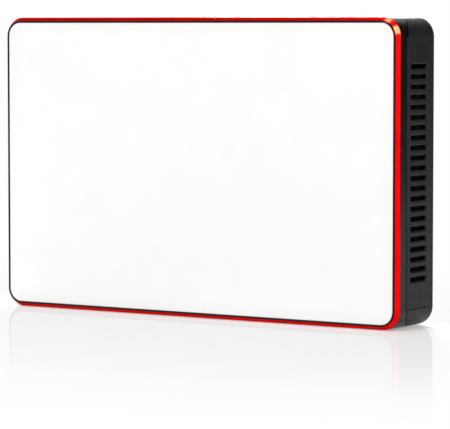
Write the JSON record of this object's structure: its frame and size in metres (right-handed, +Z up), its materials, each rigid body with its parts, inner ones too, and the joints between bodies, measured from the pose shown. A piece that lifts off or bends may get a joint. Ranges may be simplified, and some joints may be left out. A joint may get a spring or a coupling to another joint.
{
  "type": "led light panel",
  "caption": "Slim rectangular LED light panel with an opal front, red trim ring, vented black housing and flush dials on its flat back; it stands, mounts on a tripod or lies as a light table.",
  "frame": {"origin": "middle of the bottom edge that the panel stands on, at floor level", "axes": "+X to the right and +Z up as seen from the lit front, which faces -Y; +Y points out of the back"},
  "size_m": [0.143, 0.023, 0.092],
  "materials": {
    "opal_acrylic": "opal satin, lit from behind",
    "diffusion_film": "matt translucent film",
    "red_anodised": "red anodised, bright-cut slope",
    "frame_black": "satin moulded",
    "white_reflector": "matt white",
    "led_cool": "phosphor over a white case",
    "led_warm": "phosphor over a white case",
    "board_white": "white solder mask on metal core",
    "thermal_pad": "soft grey silicone",
    "black_anodised": "black anodised",
    "connector_black": "moulded",
    "board_green": "solder mask on glass laminate",
    "chip_black": "moulded",
    "ferrite": "sintered ferrite",
    "can_aluminium": "drawn can",
    "zinc_steel": "zinc plated",
    "encoder_grey": "moulded",
    "shaft_steel": "turned",
    "dial_black": "black anodised, turned face",
    "plunger_ivory": "moulded",
    "button_red": "satin moulded",
    "display_glass": "polished",
    "smoked_window": "polished smoked acrylic",
    "socket_steel": "nickel plated sheet",
    "plug_ivory": "moulded",
    "lead_red": "silicone sleeve",
    "battery_wrap": "shrink wrap",
    "foam_black": "closed-cell foam",
    "insulator_paper": "insulating paper",
    "housing_black": "fine spark-eroded texture",
    "screw_black": "black oxide",
    "insert_brass": "turned and threaded"
  },
  "bodies": {
    "casing": {"front_diffuser": "opal_acrylic", "diffusion_film": "diffusion_film", "trim_ring": "red_anodised", "front_frame": "frame_black", "reflector_tray": "white_reflector", "cool_leds": "led_cool", "warm_leds": "led_warm", "led_board": "board_white", "thermal_pad": "thermal_pad", "heat_spreader": "black_anodised", "led_header": "connector_black", "control_board": "board_green", "driver_chips": "chip_black", "driver_coils": "ferrite", "capacitors": "can_aluminium", "board_screws": "zinc_steel", "brightness_encoder": "encoder_grey", "colour_encoder": "encoder_grey", "power_switch": "encoder_grey", "display_bracket": "connector_black", "display_module": "display_glass", "display_window": "smoked_window", "charging_socket": "socket_steel", "battery_plug": "plug_ivory", "battery_leads": "lead_red", "battery_pack": "battery_wrap", "battery_foam": "foam_black", "battery_insulator": "insulator_paper", "rear_housing": "housing_black", "side_grille_right": "housing_black", "side_grille_left": "housing_black", "case_screws": "screw_black", "tripod_insert": "insert_brass"},
    "brightness_control": {"brightness_dial": "dial_black", "brightness_shaft": "shaft_steel"},
    "colour_control": {"colour_dial": "dial_black", "colour_shaft": "shaft_steel"},
    "power_control": {"power_button": "button_red", "power_plunger": "plunger_ivory"}
  },
  "joints": [
    {"name": "brightness_turn", "type": "hinge", "parent": "casing", "child": "brightness_control", "pos_m": [-0.0349, 0.00855, 0.067], "axis": [0, 1, 0], "continuous": true},
    {"name": "colour_turn", "type": "hinge", "parent": "casing", "child": "colour_control", "pos_m": [0.0349, 0.00855, 0.067], "axis": [0, 1, 0], "continuous": true},
    {"name": "power_press", "type": "slide", "parent": "casing", "child": "power_control", "axis": [0, -1, 0], "range_m": [0, 0.0008], "stiffness_N_per_m": 800, "springref_m": -0.001}
  ]
}
